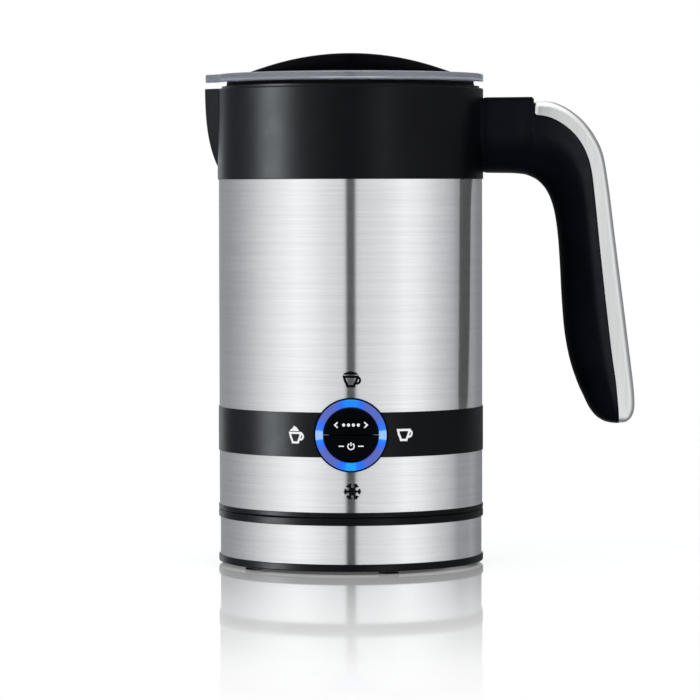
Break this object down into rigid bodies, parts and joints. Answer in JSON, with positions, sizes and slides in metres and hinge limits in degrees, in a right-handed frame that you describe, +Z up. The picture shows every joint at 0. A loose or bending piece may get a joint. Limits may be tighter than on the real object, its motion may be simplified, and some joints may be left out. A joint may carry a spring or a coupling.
{
  "type": "milk frother",
  "caption": "Cordless electric milk frother: steel jug with beak, side handle, clear lid and magnetic whisk on a round power base.",
  "frame": {"origin": "on the jug's axis, on the foot ring's underside", "axes": "+Z up, the buttons face -Y, the handle points to +X and the beak to -X"},
  "size_m": [0.1631, 0.103, 0.1934],
  "materials": {
    "black_plastic": "fine satin moulded",
    "grip_plastic": "soft matte moulded",
    "shell_steel": "horizontally brushed",
    "trim_metal": "satin",
    "clear_plastic": "clear polished",
    "lid_black": "polished",
    "rubber": "matte",
    "button_plastic": "satin",
    "glow_blue": "frosted, lit",
    "pot_coating": "dark non-stick coating",
    "plain_steel": "bright zinc",
    "contact_brass": "bright",
    "natural_plastic": "moulded",
    "heater_metal": "as cast",
    "board_green": "solder resist",
    "component_black": "moulded",
    "motor_steel": "plain",
    "magnet": "sintered",
    "whisk_plastic": "moulded",
    "spring_steel": "bright drawn wire"
  },
  "bodies": {
    "base": {"base_bottom_cover": "black_plastic", "foot_ring": "rubber", "base_sleeve": "shell_steel", "base_top_cover": "black_plastic", "base_screws": "plain_steel", "base_coupler": "black_plastic", "base_contacts": "contact_brass", "base_coupler_screws": "plain_steel", "cord_inlet_bush": "black_plastic"},
    "coupler_gasket": {"coupler_gasket": "rubber"},
    "jug": {"jug_bottom_cover": "black_plastic", "jug_floor_screws": "plain_steel", "jug_coupler": "black_plastic", "jug_contacts": "contact_brass", "jug_coupler_screws": "plain_steel", "lower_sleeve": "shell_steel", "control_band": "black_plastic", "upper_sleeve": "shell_steel", "collar": "black_plastic", "pot_gasket": "rubber", "handle_grip": "grip_plastic", "handle_trim": "trim_metal", "handle_screws": "plain_steel", "pot": "pot_coating", "whisk_pin": "plain_steel", "pot_studs_and_nuts": "plain_steel", "heater_plate": "heater_metal", "heater_element": "heater_metal", "thermal_cutout": "natural_plastic", "temperature_sensor": "plain_steel", "chassis": "natural_plastic", "motor_can": "motor_steel", "motor_end_cap": "natural_plastic", "motor_bearings": "contact_brass", "field_magnets": "magnet", "motor_screws": "plain_steel", "power_board": "board_green", "power_components": "component_black", "control_bezel": "button_plastic", "light_ring": "glow_blue", "control_board": "board_green", "tact_switches": "component_black", "indicator_leds": "glow_blue", "control_screws": "plain_steel"},
    "rotor": {"motor_shaft": "plain_steel", "armature": "motor_steel", "magnet_rotor": "natural_plastic", "drive_magnets": "magnet"},
    "whisk_bushing": {"whisk_bushing": "contact_brass"},
    "whisk": {"whisk_hub": "whisk_plastic", "whisk_magnets": "magnet", "whisk_coil": "spring_steel"},
    "function_button": {"function_button": "button_plastic", "function_plunger": "component_black"},
    "power_button": {"power_button": "button_plastic", "power_plunger": "component_black"},
    "lid": {"lid_plate": "clear_plastic", "lid_seal": "rubber", "lid_grip": "lid_black", "grip_screws": "plain_steel"}
  },
  "joints": [
    {"name": "jug_lift", "type": "slide", "parent": "base", "child": "coupler_gasket", "axis": [0, 0, 1], "range_m": [0, 0.1]},
    {"name": "jug_swivel", "type": "hinge", "parent": "coupler_gasket", "child": "jug", "pos_m": [0, 0, 0.022], "axis": [0, 0, 1], "continuous": true},
    {"name": "lid_lift", "type": "slide", "parent": "jug", "child": "lid", "axis": [0, 0, 1], "range_m": [0, 0.06]},
    {"name": "motor_spin", "type": "hinge", "parent": "jug", "child": "rotor", "pos_m": [0, 0, 0.05], "axis": [0, 0, 1], "continuous": true},
    {"name": "whisk_lift", "type": "slide", "parent": "jug", "child": "whisk_bushing", "axis": [0, 0, 1], "range_m": [0, 0.07]},
    {"name": "whisk_spin", "type": "hinge", "parent": "whisk_bushing", "child": "whisk", "pos_m": [0, 0, 0.085], "axis": [0, 0, 1], "continuous": true},
    {"name": "function_press", "type": "slide", "parent": "jug", "child": "function_button", "axis": [0, 1, 0], "range_m": [0, 0.0006], "stiffness_N_per_m": 1500, "springref_m": -0.0005},
    {"name": "power_press", "type": "slide", "parent": "jug", "child": "power_button", "axis": [0, 1, 0], "range_m": [0, 0.0006], "stiffness_N_per_m": 1500, "springref_m": -0.0005}
  ],
  "couplings": [
    {"joint": "whisk_spin", "follows": "motor_spin", "ratio": 1}
  ]
}
